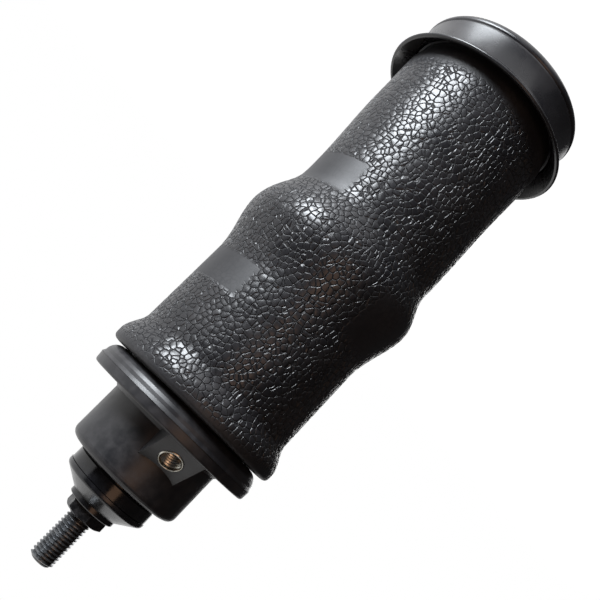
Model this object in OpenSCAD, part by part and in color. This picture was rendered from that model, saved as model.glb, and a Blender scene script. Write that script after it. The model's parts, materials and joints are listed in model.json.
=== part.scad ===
// Air shock absorber of a lorry cab: a gas damper inside a rubber air sleeve.
// It stands on its end cap. The stud points up, and the air port faces -Y.
// All sizes are in millimetres.

/* [End cap] */
// Height of the cap from its closed end to the rim
cap_h = 28.8; // [27:0.1:36]
// Gap between the sleeve and the cap's side wall
cap_gap = 1; // [0.5:0.1:3]
// Thickness of the cap's side wall
cap_wall = 3; // [2:0.1:3.6]
// Thickness of the cap's end wall
cap_floor = 4; // [3:0.1:6]
// Overhang of the flared rim beyond the cap's body
cap_rim_out = 6.5; // [4:0.1:10]
// Thickness of the flared rim at its edge
cap_rim_t = 2; // [1.2:0.1:3]
// Height of the flare below the rim
cap_flare_h = 6.5; // [4:0.1:9]
// Rounding of the cap's closed end
cap_edge_r = 6; // [3:0.1:7]
// Narrowing of the cap's body towards the rim, in radius
cap_draft = 0.5; // [0:0.1:1]
// Height of the fine step above the closed end
cap_step_h = 8.4; // [7.8:0.1:12]
// Depth of the fine step, in radius
cap_step = 0.5; // [0.2:0.1:0.8]

/* [Rubber sleeve] */
// Free length of the sleeve between the cap's rim and the flange
sleeve_len = 233; // [222:1:260]
// Diameter of the sleeve's lower cuff, inside the cap
lower_cuff_d = 98; // [95:0.5:102]
// Diameter of the sleeve where it leaves the cap
mouth_d = 101.5; // [98:0.5:106]
// Diameter of the waist below the bulge
waist_d = 97.5; // [94:0.5:102]
// Diameter of the sleeve between the bulge and the upper fold
sleeve_d = 100; // [98:0.5:104]
// Diameter at the crest of the bulge
bulge_d = 112.5; // [106:0.5:120]
// Height of the crest above the cap's rim
bulge_pos = 127.5; // [112:0.5:138]
// Reach of the bulge below its crest
bulge_low = 30.5; // [24:0.5:45]
// Reach of the bulge above its crest
bulge_high = 34; // [24:0.5:45]
// Diameter of the fold under the flange
fold_d = 112; // [106:0.5:114]
// Height over which the sleeve swells into the fold
fold_swell = 16; // [12:1:30]
// Thickness of the rubber
rubber_t = 3.2; // [2.6:0.1:3.4]

/* [Top housing] */
// Diameter of the housing's body
housing_d = 69.8; // [66:0.1:72]
// Height of the housing's body above its flange
housing_h = 33.3; // [30:0.1:40]
// Thickness of the housing's side wall
housing_wall = 5; // [4:0.1:6]
// Thickness of the wall that holds the rubber mount
housing_top_t = 6.4; // [5:0.1:8]
// Rounding of the housing's outer corner
housing_edge_r = 4.3; // [2:0.1:5]
// Diameter of the flange
flange_d = 106; // [104:0.5:112]
// Thickness of the housing's half of the flange
flange_t = 5.4; // [4:0.1:7]
// Thickness of the sleeve carrier's half of the flange
carrier_t = 9; // [8.2:0.1:12]
// Rounding of the flange's edge on the sleeve's side
carrier_edge_r = 7; // [3:0.1:7.5]
// Diameter of the spigot that holds the sleeve's folded end
spigot_d = 83; // [82:0.1:84]
// Length of the spigot below the flange
spigot_len = 30; // [25:0.5:34]
// Wall of the spigot
spigot_wall = 4; // [3:0.1:4.6]

/* [Air port] */
// Width of the sloping port pad
pad_w = 24; // [20:0.5:28]
// Height that the pad's face climbs from the flange to the housing's side
pad_h = 14.5; // [12.5:0.1:18]
// Distance of the pad's foot from the flange's edge
pad_margin = 3.1; // [2.2:0.1:6]
// Height of the port's centre above the flange
port_h = 8.5; // [7:0.1:9.5]
// Outside diameter of the threaded insert
insert_d = 13.2; // [12.6:0.1:17]
// Diameter of the insert's hole at the thread's crests
insert_bore_d = 10.5; // [9.5:0.1:11]
// Length of the insert
insert_len = 10; // [8:0.1:10.8]
// Height of the insert's ring above the pad
insert_proud = 0.5; // [0.2:0.1:1]
// Diameter of the air passage behind the insert
passage_d = 5; // [3:0.1:6]

/* [Rubber mount and stud] */
// Diameter of the mount's visible ring
mount_d = 51; // [44:0.5:54]
// Height of the visible ring
mount_ring_h = 7.3; // [6:0.1:12]
// Height of the neck between the housing and the ring
mount_neck_h = 1.2; // [0.8:0.1:5]
// Diameter of the neck inside the housing's end wall
mount_bore_d = 36; // [30:0.5:38]
// Thickness of the mount's foot inside the housing
mount_foot_h = 4.4; // [3:0.1:6]
// Depth of the dished washer
dish_h = 7.3; // [6:0.1:9]
// Thickness of the dished washer
dish_t = 2; // [1.6:0.1:3]
// Rounding of the dished washer's shoulder
dish_edge_r = 2.4; // [1:0.1:3]
// Diameter of the dished washer's flat crown
dish_crown_d = 29.6; // [29.2:0.1:33]
// Diameter of the stud
stud_d = 14; // [12:0.5:14.5]
// Length of the stud beyond its nut
stud_free = 28.5; // [20:0.1:40]
// Height of the stud's nut
nut_h = 6; // [5:0.1:10]
// Width of the nut across its flats
nut_af = 21; // [20:0.5:23]
// Diameter of the flat washer under the nut
washer_d = 28; // [25:0.5:28.6]
// Thickness of the flat washer
washer_t = 3; // [2:0.1:4]
// Outside diameter of the spacer sleeve
spacer_d = 20; // [18:0.1:22]
// Thickness of the cupped washer inside the housing
foot_washer_t = 3; // [2:0.1:4]

/* [Damper] */
// Travel of the damper
stroke = 65; // [50:1:67]
// Outside diameter of the damper tube
tube_d = 40; // [39:0.1:42]
// Wall of the damper tube
tube_wall = 2; // [1.8:0.1:2.4]
// Length of the damper tube
tube_len = 190; // [185:1:200]
// Diameter of the piston rod
rod_d = 16; // [15.2:0.1:17]
// Diameter of the rod's lower end, which carries the piston
tenon_d = 10; // [8:0.1:11]
// Height of the damper piston
piston_h = 17; // [14:0.5:20]
// Height of the floating piston
float_h = 16; // [12:0.5:18]
// Height of the rod guide
guide_h = 23; // [20:0.5:26]
// Height of the rebound stop
rebound_h = 9.5; // [6:0.5:12]
// Diameter of the bump stop
bump_d = 32; // [26:0.5:40]
// Depth of the tube's base plug
base_h = 22; // [20:0.5:25]
// Diameter of the lower threaded socket at the thread's crests
socket_d = 10.2; // [8.5:0.1:11]
// Depth of the lower threaded socket
socket_len = 16; // [12:0.5:17]

/* [Fits] */
// Radial gap of a sliding fit
run_gap = 0.05; // [0.02:0.01:0.1]
// Gap between fixed metal or plastic pieces
seat_gap = 0.1; // [0.05:0.01:0.2]
// Gap beside rubber pieces
soft_gap = 0.3; // [0.2:0.05:0.4]

/* [Hidden] */
$fn = 96;

black_plastic = [0.07, 0.07, 0.075];
black_rubber = [0.05, 0.05, 0.055];
black_paint = [0.03, 0.03, 0.035];
dark_steel = [0.2, 0.2, 0.22];
bright_steel = [0.7, 0.7, 0.72];
dull_steel = [0.5, 0.5, 0.52];
cast_metal = [0.62, 0.62, 0.64];
brass_metal = [0.72, 0.6, 0.36];
pale_polymer = [0.75, 0.72, 0.62];
amber_foam = [0.55, 0.45, 0.2];

// Heights of the closed lower end
hub_rise = 3;
hub_h = cap_floor + hub_rise;
base_flange_t = 3;
base_flange_out = 4;
base_flange_d = tube_d + 2 * base_flange_out;
tube_lift = 1;
tube_z = hub_h + tube_lift;
tube_top = tube_z + tube_len;
tube_r = tube_d / 2;
bore_r = tube_r - tube_wall;

// Radii of the sleeve's lower end and of the cap round it
lower_cuff_r = lower_cuff_d / 2;
mouth_r = mouth_d / 2;
crimp_t = 1.2;
cap_r = max(mouth_r, lower_cuff_r + soft_gap + crimp_t) + cap_gap + cap_wall;
cap_rim_r = cap_r + cap_rim_out;

// Sleeve seat inside the cap
seat_drop = 2;
seat_rim_h = cap_h - cap_flare_h - hub_h - seat_drop;
seat_groove_z = hub_h + 7;
seat_groove_h = 2.4;
seat_barb_h = 1.6;
seat_barb_depth = 0.8;
seat_barb_step = 4;
seat_web_t = 4;
seat_hub_h = 17;
seat_hub_t = 5.5;
seat_rim_t = 4.5;
sleeve_end_gap = 1.5;
seat_r = lower_cuff_r - rubber_t - soft_gap;
seat_ribs = 8;
seat_rib_t = 3;
seat_rib_h = 7;
snap_t = 1.6;
snap_depth = 0.8;
snap_reach = 3;
crimp_inset = 0.5;
sleeve_start = hub_h + sleeve_end_gap;
lower_crimp_z = sleeve_start + crimp_inset;
lower_crimp_top = hub_h + seat_rim_h - crimp_inset;

// Heights of the head of the damper
guide_snap_z = tube_top - 1.4 - snap_t;
guide_z = guide_snap_z - guide_h;
seal_h = 5;
seal_r = 12;
bush_wall = 1.5;
bush_len = 14;
strike_t = 1.9;
strike_skirt_t = 1.6;
strike_skirt = 7;
strike_top = tube_top + seat_gap + strike_t;

// Heights of the upper half
carrier_z = cap_h + sleeve_len;
flange_z = carrier_z + carrier_t;
flange_top = flange_z + flange_t;
housing_top = flange_top + housing_h;
housing_r = housing_d / 2;
flange_r = flange_d / 2;
cavity_r = housing_r - housing_wall;
end_wall_z = housing_top - housing_top_t;
shoulder_z = end_wall_z - 2 * soft_gap - mount_foot_h - foot_washer_t;
ring_z = housing_top + mount_neck_h;
ring_top = ring_z + mount_ring_h;
crown_z = ring_top + dish_h;
washer_z = crown_z + dish_t;
nut_z = washer_z + washer_t;
nut_top = nut_z + nut_h;
stud_top = nut_top + stud_free;
nut_turn = 30;
stud_r = stud_d / 2;
rod_r = rod_d / 2;
pilot_len = 12;
pilot_r = spigot_d / 2 - spigot_wall - seat_gap;
pilot_wall = 4.2;
pilot_groove_z = flange_z - 6.4;
pilot_groove_h = 2.4;
pilot_ring_d = 1.9;
cup_r = mount_bore_d / 2 + 2;
cup_lip = 2;

// Heights along the rod
rebound_z = guide_z - soft_gap - rebound_h;
rebound_t = 6;
collar_h = 3.6;
collar_t = 5.5;
collar_z = rebound_z - soft_gap - collar_h;
tenon_z = collar_z - 3.5;
backing_t = 1.5;
backing_w = 3.6;
shim_w = 8.5;
shim_drop = 1.1;
shim_t = 0.4;
shim_n = 4;
stack_h = shim_t * shim_n;
piston_top = tenon_z - backing_t - stack_h;
piston_z = piston_top - piston_h;
lower_backing_z = piston_z - stack_h - backing_t;
piston_nut_h = 8;
piston_nut_af = 16;
piston_nut_z = lower_backing_z - piston_nut_h;
tenon_end = piston_nut_z - 2;
tenon_r = tenon_d / 2;
band_t = 1.2;
band_h = 8;
band_groove_z = piston_z + (piston_h - band_h) / 2;
float_ratio = pow(rod_r / bore_r, 2);
float_room = 9;
float_top = tenon_end - stroke * (1 - float_ratio) - float_room;
float_z = float_top - float_h;
bump_room = 1.5;
bump_z = strike_top + stroke + bump_room;
bump_top = shoulder_z - soft_gap;
bump_waists = 2;

// Port pad: its sloping face runs from the flange up to the housing's side
pad_reach = flange_r - housing_r - pad_margin;
pad_slope = atan2(pad_reach, pad_h);
port_y = -(housing_r + pad_reach * (1 - port_h / pad_h));
port_z = flange_top + port_h;
insert_sink = insert_len - insert_proud;
passage_len = 14;

// Radii and heights of the rubber sleeve
waist_r = waist_d / 2;
sleeve_r = sleeve_d / 2;
bulge_r = bulge_d / 2;
fold_r = fold_d / 2;
spigot_r = spigot_d / 2;
cuff_r = spigot_r + soft_gap;
fold_h = 5.5;
fold_mid_r = (fold_r + cuff_r) / 2;
fold_top = carrier_z - soft_gap;
fold_z = fold_top - fold_h;
cuff_end = carrier_z - spigot_len + 2;
upper_crimp_z = cuff_end + 2;
upper_crimp_h = 9;
bulge_z = cap_h + bulge_pos;
profile_step = 3;
arc_steps = 16;

// A value that eases from 0 to 1
function ease(t) = t <= 0 ? 0 : t >= 1 ? 1 : (1 - cos(180 * t)) / 2;

// Share of the bulge at a height: 1 at its crest and 0 past its reach
function bulge_share(z) = z < bulge_z
    ? ease(1 - (bulge_z - z) / bulge_low)
    : ease(1 - (z - bulge_z) / bulge_high);

// Radius of the sleeve with neither bulge nor fold: it goes from the cuff to the cap's mouth,
// in to the waist and out to the upper part
function plain_r(z) = lower_cuff_r
    + (mouth_r - lower_cuff_r) * ease((z - lower_crimp_top) / (cap_h - lower_crimp_top))
    + (waist_r - mouth_r) * ease((z - cap_h) / (bulge_z - bulge_low - cap_h))
    + (sleeve_r - waist_r) * ease((z - bulge_z) / bulge_high);

// Outer radius of the sleeve at a height
function sleeve_outer(z) =
    let (base = plain_r(z),
         bulged = base + (bulge_r - base) * bulge_share(z),
         swell = ease((z - fold_z + fold_swell) / fold_swell))
    bulged + (fold_r - bulged) * swell;

// Points of the outer wall from the cap up to the fold, moved inwards by a depth
function wall_points(depth) = [for (z = [sleeve_start : profile_step : fold_z - 1])
    [sleeve_outer(z) - depth, z]];

// Points of the fold's arch, from outside to inside, moved inwards by a depth
function arch_points(depth) = [for (i = [0 : arc_steps])
    let (a = 180 * i / arc_steps)
    [fold_mid_r + (fold_r - fold_mid_r - depth) * cos(a), fold_z + (fold_h - depth) * sin(a)]];

function reversed(list) = [for (i = [len(list) - 1 : -1 : 0]) list[i]];

// Points of a quarter round, from one angle to another
function corner(cx, cy, r, from, to, n = 6) = [for (i = [0 : n])
    let (a = from + (to - from) * i / n) [cx + r * cos(a), cy + r * sin(a)]];

module ring(r_out, r_in, z0, z1) {
    rotate_extrude()
        translate([r_in, z0])
            square([r_out - r_in, z1 - z0]);
}

module turned(points) {
    rotate_extrude()
        polygon(points);
}

// A round seal: its section sits against the inner radius
module o_ring(r_in, section_d, z_mid) {
    rotate_extrude()
        translate([r_in + section_d / 2, z_mid])
            circle(d = section_d, $fn = 32);
}

// A ring cut open at one side, as a retaining ring is
module split_ring(r_out, r_in, z0, t, slot) {
    difference() {
        ring(r_out, r_in, z0, z0 + t);
        translate([0, -slot / 2, z0 - 1])
            cube([r_out + 1, slot, t + 2]);
    }
}

// A hexagon nut with both ends chamfered, bored to a radius
module hex_nut(af, bore, z0, h) {
    across = af / cos(30);
    bevel = (across - af) / 2 + 0.3;
    difference() {
        intersection() {
            translate([0, 0, z0])
                cylinder(h = h, d = across, $fn = 6);
            turned([[0, z0], [across / 2 - bevel, z0], [across / 2, z0 + bevel * 0.58],
                    [across / 2, z0 + h - bevel * 0.58], [across / 2 - bevel, z0 + h], [0, z0 + h]]);
        }
        translate([0, 0, z0 - 1])
            cylinder(h = h + 2, r = bore);
    }
}

// Pot with a flared rim. The hub in its end wall stands on the tube base's flange.
module end_cap() {
    body_r = cap_r;
    neck_r = body_r - cap_draft;
    rim_r = cap_rim_r;
    flare_z = cap_h - cap_flare_h;
    hole_r = tube_r + seat_gap;
    color(black_plastic)
        turned(concat(
            [[base_flange_d / 2 + seat_gap, 0]],
            corner(body_r - cap_step - cap_edge_r, cap_edge_r, cap_edge_r, -90, 0),
            [[body_r - cap_step, cap_step_h - cap_step],
             [body_r, cap_step_h],
             [neck_r, flare_z - 1],
             [neck_r + 1.5, flare_z + 0.8],
             [rim_r - cap_rim_t, cap_h - cap_rim_t]],
            corner(rim_r - cap_rim_t / 2, cap_h - cap_rim_t / 2, cap_rim_t / 2, -60, 90),
            [[rim_r - cap_rim_t, cap_h],
             [body_r - cap_wall + 2.5, flare_z + 1],
             [body_r - cap_wall, flare_z - 1.5],
             [body_r - cap_wall, cap_floor + 1],
             [body_r - cap_wall - 1, cap_floor],
             [base_flange_d / 2 + 6, cap_floor],
             [base_flange_d / 2 + 5, hub_h],
             [hole_r, hub_h],
             [hole_r, base_flange_t + seat_gap],
             [base_flange_d / 2 + seat_gap, base_flange_t + seat_gap]]));
}

// Flanged ring on which the sleeve's lower cuff is crimped, with ribs from rim to hub
module sleeve_seat() {
    inner = tube_r + seat_gap;
    hub_r = inner + seat_hub_t;
    rim_in = seat_r - seat_rim_t;
    color(black_plastic)
        difference() {
            union() {
                ring(hub_r, inner, hub_h, hub_h + seat_hub_h);
                ring(seat_r, inner, hub_h, hub_h + seat_web_t);
                ring(seat_r, rim_in, hub_h, hub_h + seat_rim_h);
                for (i = [0 : seat_ribs - 1])
                    rotate([0, 0, i * 360 / seat_ribs])
                        translate([hub_r - 1, -seat_rib_t / 2, hub_h + seat_web_t - 1])
                            cube([rim_in - hub_r + 2, seat_rib_t, seat_rib_h + 1]);
            }
            ring(inner + 2, inner - 1, seat_groove_z, seat_groove_z + seat_groove_h);
            for (z = [seat_groove_z, seat_groove_z + seat_barb_step])
                ring(seat_r + 1, seat_r - seat_barb_depth, z, z + seat_barb_h);
        }
}

module lower_crimp_ring() {
    inner = lower_cuff_r + soft_gap;
    outer = inner + crimp_t;
    mid = (lower_crimp_z + lower_crimp_top) / 2;
    bead = 0.4;
    color(dull_steel)
        turned([[inner, lower_crimp_z], [outer, lower_crimp_z], [outer, mid - 5 * bead],
                [outer - bead, mid], [outer, mid + 5 * bead], [outer, lower_crimp_top],
                [inner, lower_crimp_top]]);
}

module seat_o_ring() {
    color(black_rubber)
        o_ring(tube_r + seat_gap, 1.9, seat_groove_z + seat_groove_h / 2);
}

module seat_snap_ring() {
    color(bright_steel)
        split_ring(tube_r + snap_reach, tube_r - snap_depth + seat_gap,
                   hub_h + seat_hub_h + seat_gap, snap_t, 5);
}

// Plug in the tube's lower end, with the threaded socket of the lower mount
module tube_base() {
    plug_r = bore_r - run_gap;
    color(dull_steel)
        difference() {
            turned([[0, 0], [base_flange_d / 2 - 0.5, 0], [base_flange_d / 2, 0.5],
                    [base_flange_d / 2, base_flange_t], [tube_r, base_flange_t],
                    [tube_r, tube_z], [plug_r, tube_z], [plug_r, base_h - 1],
                    [plug_r - 1, base_h], [0, base_h]]);
            translate([0, 0, -1])
                cylinder(h = socket_len + 1, d = socket_d);
        }
}

module damper_tube() {
    outer_groove_z = hub_h + seat_hub_h + seat_gap;
    color(dull_steel)
        difference() {
            ring(tube_r, bore_r, tube_z, tube_top);
            ring(tube_r + 1, tube_r - snap_depth,
                 outer_groove_z - seat_gap, outer_groove_z + snap_t + seat_gap);
            ring(bore_r + snap_depth, bore_r - 1,
                 guide_snap_z - seat_gap, guide_snap_z + snap_t + seat_gap);
        }
}

// Bored plug that closes the tube's head and carries the bush and the rod seal
module rod_guide() {
    body_r = bore_r - run_gap;
    bush_r = rod_r + run_gap + bush_wall + run_gap;
    groove_z = guide_z + guide_h / 2 - 1.2;
    color(cast_metal)
        difference() {
            turned([[rod_r + 0.4, guide_z], [body_r - 1, guide_z], [body_r, guide_z + 1],
                    [body_r, guide_snap_z - 1.5 * seat_gap], [rod_r + 0.4, guide_snap_z - 1.5 * seat_gap]]);
            ring(bush_r, rod_r - 1, guide_z + 2, guide_z + 2 + bush_len + seat_gap);
            ring(seal_r + seat_gap, rod_r - 1, guide_snap_z - seal_h - 0.4, guide_snap_z + 1);
            ring(body_r + 1, body_r - 2, groove_z, groove_z + 2.4);
        }
}

module guide_bush() {
    color(brass_metal)
        ring(rod_r + run_gap + bush_wall, rod_r + run_gap,
             guide_z + 2 + seat_gap / 2, guide_z + 2 + bush_len);
}

module guide_o_ring() {
    color(black_rubber)
        o_ring(bore_r - run_gap - 1.95, 1.9, guide_z + guide_h / 2);
}

// Lip seal round the rod
module rod_seal() {
    z0 = guide_snap_z - seal_h - 0.2;
    z1 = guide_snap_z - 0.3;
    inner = rod_r + run_gap;
    color(black_rubber)
        turned([[inner + 2.5, z0], [seal_r - run_gap, z0], [seal_r - run_gap, z1],
                [inner + 1.5, z1], [inner, z1 - 1.2], [inner + 0.8, z1 - 2.2],
                [inner, z0 + 1], [inner + 0.6, z0 + 0.2]]);
}

module guide_snap_ring() {
    color(bright_steel)
        split_ring(bore_r + snap_depth - seat_gap, bore_r - snap_reach, guide_snap_z, snap_t, 6);
}

// Pressed cap that takes the blow of the bump stop
module strike_cap() {
    inner = tube_r + seat_gap;
    hole_r = rod_r + 0.6;
    skirt_z = tube_top - strike_skirt;
    outer = inner + strike_skirt_t;
    edge = strike_t * 0.8;
    color(dull_steel)
        turned([[inner, skirt_z], [outer, skirt_z], [outer, strike_top - edge],
                [outer - edge, strike_top], [hole_r, strike_top],
                [hole_r, tube_top + seat_gap], [inner, tube_top + seat_gap]]);
}

// Cupped piston that parts the oil from the gas
module floating_piston() {
    body_r = bore_r - run_gap;
    color(cast_metal)
        difference() {
            turned([[0, float_z + 7], [body_r - 5, float_z + 7], [body_r - 3, float_z],
                    [body_r - 0.6, float_z], [body_r, float_z + 0.6],
                    [body_r, float_top - 0.6], [body_r - 0.6, float_top], [0, float_top]]);
            ring(body_r + 1, body_r - 2.2, float_z + 8, float_z + 10.6);
        }
}

module floating_seal() {
    color(black_rubber)
        o_ring(bore_r - run_gap - 2.15, 2.1, float_z + 9.3);
}

// Rod, shoulder and stud in one piece. Inside the nut it is drawn at the thread's mean radius.
module piston_rod() {
    thread_mean_r = stud_r - 0.55;
    tip = 1.2;
    runout = 0.3;
    color(dark_steel)
        turned([[0, tenon_end], [tenon_r - 1, tenon_end], [tenon_r, tenon_end + 1],
                [tenon_r, tenon_z], [rod_r - 0.5, tenon_z], [rod_r, tenon_z + 0.5],
                [rod_r, shoulder_z], [stud_r, shoulder_z], [stud_r, nut_z],
                [thread_mean_r, nut_z], [thread_mean_r, nut_top + runout],
                [stud_r, nut_top + runout], [stud_r, stud_top - tip], [stud_r - tip, stud_top],
                [0, stud_top]]);
}

// Piston with two circles of oil ports
module damper_piston() {
    body_r = bore_r - 0.3;
    port_r = 1.4;
    ports = 6;
    land_h = 1.2;
    color(dull_steel)
        difference() {
            turned([[tenon_r + run_gap, piston_z], [body_r - 1, piston_z], [body_r, piston_z + 1],
                    [body_r, piston_top - 1], [body_r - 1, piston_top],
                    [tenon_r + run_gap, piston_top]]);
            ring(body_r + 1, bore_r - run_gap - band_t - run_gap,
                 band_groove_z - run_gap, band_groove_z + band_h + run_gap);
            for (i = [0 : ports - 1]) {
                rotate([0, 0, i * 360 / ports])
                    translate([tenon_r + 3.6, 0, piston_z - 1])
                        cylinder(h = piston_h + 2, r = port_r, $fn = 24);
                rotate([0, 0, (i + 0.5) * 360 / ports])
                    translate([tenon_r + 7.4, 0, piston_z - 1])
                        cylinder(h = piston_h + 2, r = port_r, $fn = 24);
            }
            ring(tenon_r + 9.4, tenon_r + 5.6, piston_top - land_h, piston_top + 1);
            ring(tenon_r + 5.2, tenon_r + 2, piston_z - 1, piston_z + land_h);
        }
}

module piston_band() {
    color(pale_polymer)
        split_ring(bore_r - run_gap, bore_r - run_gap - band_t, band_groove_z, band_h, 0.8);
}

// A stack of spring discs that get smaller away from the piston, as one solid of steps
module shim_stack(z_face, sense) {
    for (i = [0 : shim_n - 1]) {
        low = min(z_face + sense * i * shim_t, z_face + sense * (i + 1) * shim_t);
        ring(tenon_r + shim_w - i * shim_drop, tenon_r + run_gap, low, low + shim_t);
    }
}

module compression_shims() {
    color(bright_steel)
        shim_stack(piston_top, 1);
}

module rebound_shims() {
    color(bright_steel)
        shim_stack(piston_z, -1);
}

// The plain washers that back both shim stacks
module backing_washers() {
    color(dull_steel)
        for (z = [tenon_z - backing_t, lower_backing_z])
            ring(tenon_r + backing_w, tenon_r + run_gap, z, z + backing_t);
}

module piston_nut() {
    color(bright_steel)
        hex_nut(piston_nut_af, tenon_r + run_gap, piston_nut_z, piston_nut_h);
}

// Collar pressed on the rod under the rebound stop
module stop_collar() {
    color(dull_steel)
        turned([[rod_r + run_gap, collar_z], [rod_r + collar_t / 2, collar_z],
                [rod_r + collar_t, collar_z + collar_h / 2], [rod_r + collar_t, collar_z + collar_h],
                [rod_r + run_gap, collar_z + collar_h]]);
}

module rebound_stop() {
    inner = rod_r + soft_gap;
    outer = rod_r + rebound_t;
    top = rebound_z + rebound_h;
    edge = rebound_t * 0.2;
    color(black_rubber)
        turned([[inner, rebound_z], [outer - edge, rebound_z], [outer, rebound_z + edge],
                [outer, rebound_z + rebound_h * 0.6], [outer - 2 * edge, top], [inner, top]]);
}

// Foam buffer with waists, which crumple in turn
module bump_stop() {
    inner = rod_r + soft_gap;
    outer = bump_d / 2;
    lobes = bump_waists + 1;
    pitch = (bump_top - bump_z) / lobes;
    side = [for (k = [0 : lobes - 1], t = [0 : 0.125 : 0.875])
        [outer - 3 * (1 - sin(180 * t)), bump_z + (k + t) * pitch]];
    color(amber_foam)
        turned(concat([[inner, bump_z]], side, [[outer - 3, bump_top], [inner, bump_top]]));
}

// Cupped washer on the rod's shoulder, under the rubber mount's foot
module foot_washer() {
    inner = stud_r + run_gap;
    z0 = shoulder_z;
    z1 = shoulder_z + foot_washer_t;
    color(dull_steel)
        turned([[inner, z0], [cup_r + 1.5, z0], [cup_r + 3.5, z0 + 2], [cup_r + 3.5, z1 + cup_lip],
                [cup_r + 1.6, z1 + cup_lip], [cup_r + 1.6, z1], [inner, z1]]);
}

module spacer_sleeve() {
    color(bright_steel)
        ring(spacer_d / 2, stud_r + run_gap, shoulder_z + foot_washer_t, crown_z);
}

// Rubber mount: a foot inside the housing, a neck through its end wall, and the visible ring
module rubber_mount() {
    inner = spacer_d / 2 + soft_gap;
    foot_z = shoulder_z + foot_washer_t + soft_gap;
    foot_top = end_wall_z - soft_gap;
    neck_r = mount_bore_d / 2 - soft_gap;
    outer = mount_d / 2 - 0.4;
    shelf_z = housing_top + soft_gap;
    gap_r = mount_d / 2 - 3;
    edge = 0.8;
    crown_r = dish_crown_d / 2;
    color(black_rubber)
        turned([[inner, foot_z], [cup_r, foot_z], [cup_r + 1.2, foot_z + 1.2],
                [cup_r + 1.2, foot_top], [neck_r, foot_top], [neck_r, shelf_z],
                [gap_r, shelf_z], [gap_r, ring_z], [outer - edge, ring_z], [outer, ring_z + edge],
                [outer, ring_top - soft_gap], [outer - dish_t, ring_top - soft_gap],
                [crown_r - dish_t, crown_z - 1.4 * soft_gap], [inner, crown_z - 1.4 * soft_gap]]);
}

// Dished washer over the rubber mount: a short skirt, a round shoulder and a cone
module dished_washer() {
    rim_r = mount_d / 2;
    crown_r = dish_crown_d / 2;
    inner = stud_r + run_gap;
    skirt = 1.2;
    color(black_paint)
        turned(concat(
            [[inner, crown_z], [crown_r - dish_t / 2, crown_z],
             [rim_r - dish_t - skirt / 2, ring_top + skirt], [rim_r - dish_t, ring_top],
             [rim_r, ring_top]],
            corner(rim_r - dish_edge_r, ring_top + skirt, dish_edge_r, 0, 50),
            [[crown_r, washer_z], [inner, washer_z]]));
}

module flat_washer() {
    color(black_paint)
        turned([[stud_r + run_gap, washer_z], [washer_d / 2, washer_z],
                [washer_d / 2, nut_z - 0.4], [washer_d / 2 - 0.4, nut_z],
                [stud_r + run_gap, nut_z]]);
}

module stud_nut() {
    color(black_paint)
        rotate([0, 0, nut_turn])
            hex_nut(nut_af, stud_r - 0.5, nut_z, nut_h);
}

// Places a shape on the pad's sloping face, with Z out of the face
module on_pad() {
    translate([0, port_y, port_z])
        rotate([90 - pad_slope, 0, 0])
            children();
}

// The wedge under the sloping face. The face runs on into the housing's round side.
module port_pad() {
    foot_y = -housing_r - pad_reach;
    sunk = housing_wall * 0.7;
    head_z = flange_top + pad_h * (1 + sunk / pad_reach);
    difference() {
        translate([-pad_w / 2, 0, 0])
            rotate([90, 0, 90])
                linear_extrude(pad_w)
                    polygon([[0, flange_z + 1], [foot_y, flange_z + 1], [foot_y, flange_top],
                             [sunk - housing_r, head_z], [0, head_z]]);
        translate([0, 0, flange_z])
            cylinder(h = head_z, r = cavity_r + 1);
    }
}

// Housing: body, half of the flange, pilot for the sleeve carrier, and the sloping port pad
module top_housing() {
    wall_hole_r = mount_bore_d / 2;
    draft = 0.1;
    fillet = 2;
    body = concat(
        [[pilot_r - pilot_wall, flange_z - pilot_len], [pilot_r - 0.8, flange_z - pilot_len],
         [pilot_r, flange_z - pilot_len + 0.8], [pilot_r, flange_z], [flange_r, flange_z]],
        corner(flange_r - 2, flange_top - 1.6, 1.6, 0, 90),
        [[housing_r + fillet, flange_top], [housing_r, flange_top + fillet]],
        corner(housing_r - draft - housing_edge_r, housing_top - housing_edge_r, housing_edge_r, 0, 90),
        [[wall_hole_r, housing_top], [wall_hole_r, end_wall_z], [cavity_r - 2, end_wall_z],
         [cavity_r, end_wall_z - 2], [cavity_r, flange_z + 1],
         [pilot_r - pilot_wall, flange_z - 3]]);
    color(black_plastic)
        difference() {
            union() {
                turned(body);
                port_pad();
            }
            on_pad() {
                translate([0, 0, -insert_sink - seat_gap])
                    cylinder(h = insert_sink + seat_gap + 5, d = insert_d + 2 * seat_gap);
                translate([0, 0, -insert_sink - passage_len])
                    cylinder(h = passage_len + 1, d = passage_d, $fn = 48);
            }
            ring(pilot_r + 1, pilot_r - pilot_ring_d, pilot_groove_z, pilot_groove_z + pilot_groove_h);
        }
}

module port_insert() {
    top = insert_proud;
    r = insert_d / 2;
    bore = insert_bore_d / 2;
    color(brass_metal)
        on_pad()
            turned([[bore, -insert_sink], [r, -insert_sink], [r, top - 0.4], [r - 0.4, top],
                    [bore, top]]);
}

// Lower half of the flange, with the spigot that the sleeve's folded end is crimped on
module sleeve_carrier() {
    overhang = 0.2;
    draft = 1;
    barb_z = carrier_z - spigot_len + 6;
    edge_x = flange_r + overhang - draft - carrier_edge_r;
    color(black_plastic)
        difference() {
            turned(concat(
                [[spigot_r - spigot_wall, carrier_z - spigot_len],
                 [spigot_r - 1, carrier_z - spigot_len], [spigot_r, carrier_z - spigot_len + 1],
                 [spigot_r, carrier_z]],
                corner(edge_x, carrier_z + carrier_edge_r, carrier_edge_r, -90, 0),
                [[flange_r + overhang, flange_z - seat_gap],
                 [spigot_r - spigot_wall, flange_z - seat_gap]]));
            for (z = [barb_z, barb_z + seat_barb_step])
                ring(spigot_r + 1, spigot_r - seat_barb_depth, z, z + seat_barb_h);
        }
}

module carrier_o_ring() {
    color(black_rubber)
        o_ring(pilot_r - pilot_ring_d + run_gap, pilot_ring_d, pilot_groove_z + pilot_groove_h / 2);
}

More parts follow.
